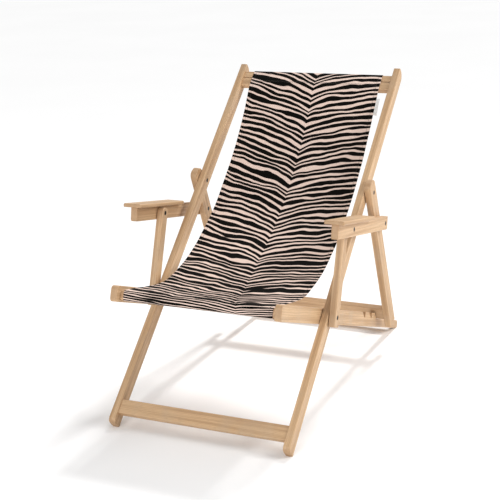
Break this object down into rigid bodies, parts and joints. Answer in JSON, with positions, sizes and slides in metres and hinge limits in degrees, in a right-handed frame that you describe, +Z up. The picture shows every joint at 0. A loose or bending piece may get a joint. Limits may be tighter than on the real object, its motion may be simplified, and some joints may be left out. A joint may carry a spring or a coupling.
{
  "type": "folding deck chair",
  "caption": "Folding wooden deck chair with a printed canvas sling, pivoting prop frame, notched seat rails and folding arms with flat pads.",
  "frame": {"origin": "middle of the bounding box, on the floor that the chair stands on", "axes": "+Z up, +Y from the front feet to behind the head, +X to the side"},
  "size_m": [0.6936, 1.0661, 0.9132],
  "materials": {
    "wood": "oiled hardwood, satin",
    "pad_wood": "oiled hardwood, satin",
    "dowel": "plain beech",
    "bolt": "blackened steel",
    "washer": "moulded nylon",
    "canvas": "woven cotton canvas with a dark animal stripe print"
  },
  "bodies": {
    "back_frame": {"back_rail_left": "wood", "back_rail_right": "wood", "top_bar_upper": "wood", "top_bar_lower": "wood", "foot_stretcher": "wood", "sling_back_panel": "canvas", "main_pivot_bolts": "bolt", "main_pivot_nuts": "bolt", "main_pivot_inner_washers": "washer", "main_pivot_outer_washers": "washer", "prop_pivot_bolts": "bolt", "prop_pivot_nuts": "bolt", "prop_pivot_washers": "washer"},
    "seat_frame": {"seat_rail_left": "wood", "seat_rail_right": "wood", "seat_front_bar": "wood", "seat_rear_bar": "wood", "sling_seat_panel": "canvas"},
    "prop_frame": {"prop_strut_left": "wood", "prop_strut_right": "wood", "prop_bar": "wood", "arm_rear_nuts": "bolt", "arm_rear_washers": "washer"},
    "arm_strut_left": {"arm_strut_left": "wood", "arm_front_nut_left": "bolt"},
    "arm_left": {"arm_rail_left": "wood", "arm_pad_left": "pad_wood", "arm_pad_dowels_left": "dowel", "arm_front_bolt_left": "bolt", "arm_front_washer_left": "washer", "arm_rear_bolt_left": "bolt"},
    "arm_strut_right": {"arm_strut_right": "wood", "arm_front_nut_right": "bolt"},
    "arm_right": {"arm_rail_right": "wood", "arm_pad_right": "pad_wood", "arm_pad_dowels_right": "dowel", "arm_front_bolt_right": "bolt", "arm_front_washer_right": "washer", "arm_rear_bolt_right": "bolt"}
  },
  "joints": [
    {"name": "seat_fold", "type": "hinge", "parent": "back_frame", "child": "seat_frame", "pos_m": [0, -0.20625, 0.29655], "axis": [1, 0, 0], "range_deg": [0, 60]},
    {"name": "prop_fold", "type": "hinge", "parent": "back_frame", "child": "prop_frame", "pos_m": [0, 0.13112, 0.5849], "axis": [1, 0, 0], "range_deg": [0, 106.1]},
    {"name": "arm_strut_left_fold", "type": "hinge", "parent": "back_frame", "child": "arm_strut_left", "pos_m": [0, -0.20625, 0.29655], "axis": [1, 0, 0], "range_deg": [-27.7, 0]},
    {"name": "arm_left_fold", "type": "hinge", "parent": "arm_strut_left", "child": "arm_left", "pos_m": [0, -0.12168, 0.53861], "axis": [1, 0, 0], "range_deg": [0, 77.2]},
    {"name": "arm_strut_right_fold", "type": "hinge", "parent": "back_frame", "child": "arm_strut_right", "pos_m": [0, -0.20625, 0.29655], "axis": [1, 0, 0], "range_deg": [-27.7, 0]},
    {"name": "arm_right_fold", "type": "hinge", "parent": "arm_strut_right", "child": "arm_right", "pos_m": [0, -0.12168, 0.53861], "axis": [1, 0, 0], "range_deg": [0, 77.2]}
  ],
  "couplings": [
    {"joint": "prop_fold", "follows": "seat_fold", "ratio": 1.7667},
    {"joint": "arm_strut_left_fold", "follows": "seat_fold", "ratio": -0.46},
    {"joint": "arm_left_fold", "follows": "seat_fold", "ratio": 1.2844},
    {"joint": "arm_strut_right_fold", "follows": "seat_fold", "ratio": -0.46},
    {"joint": "arm_right_fold", "follows": "seat_fold", "ratio": 1.2844}
  ]
}
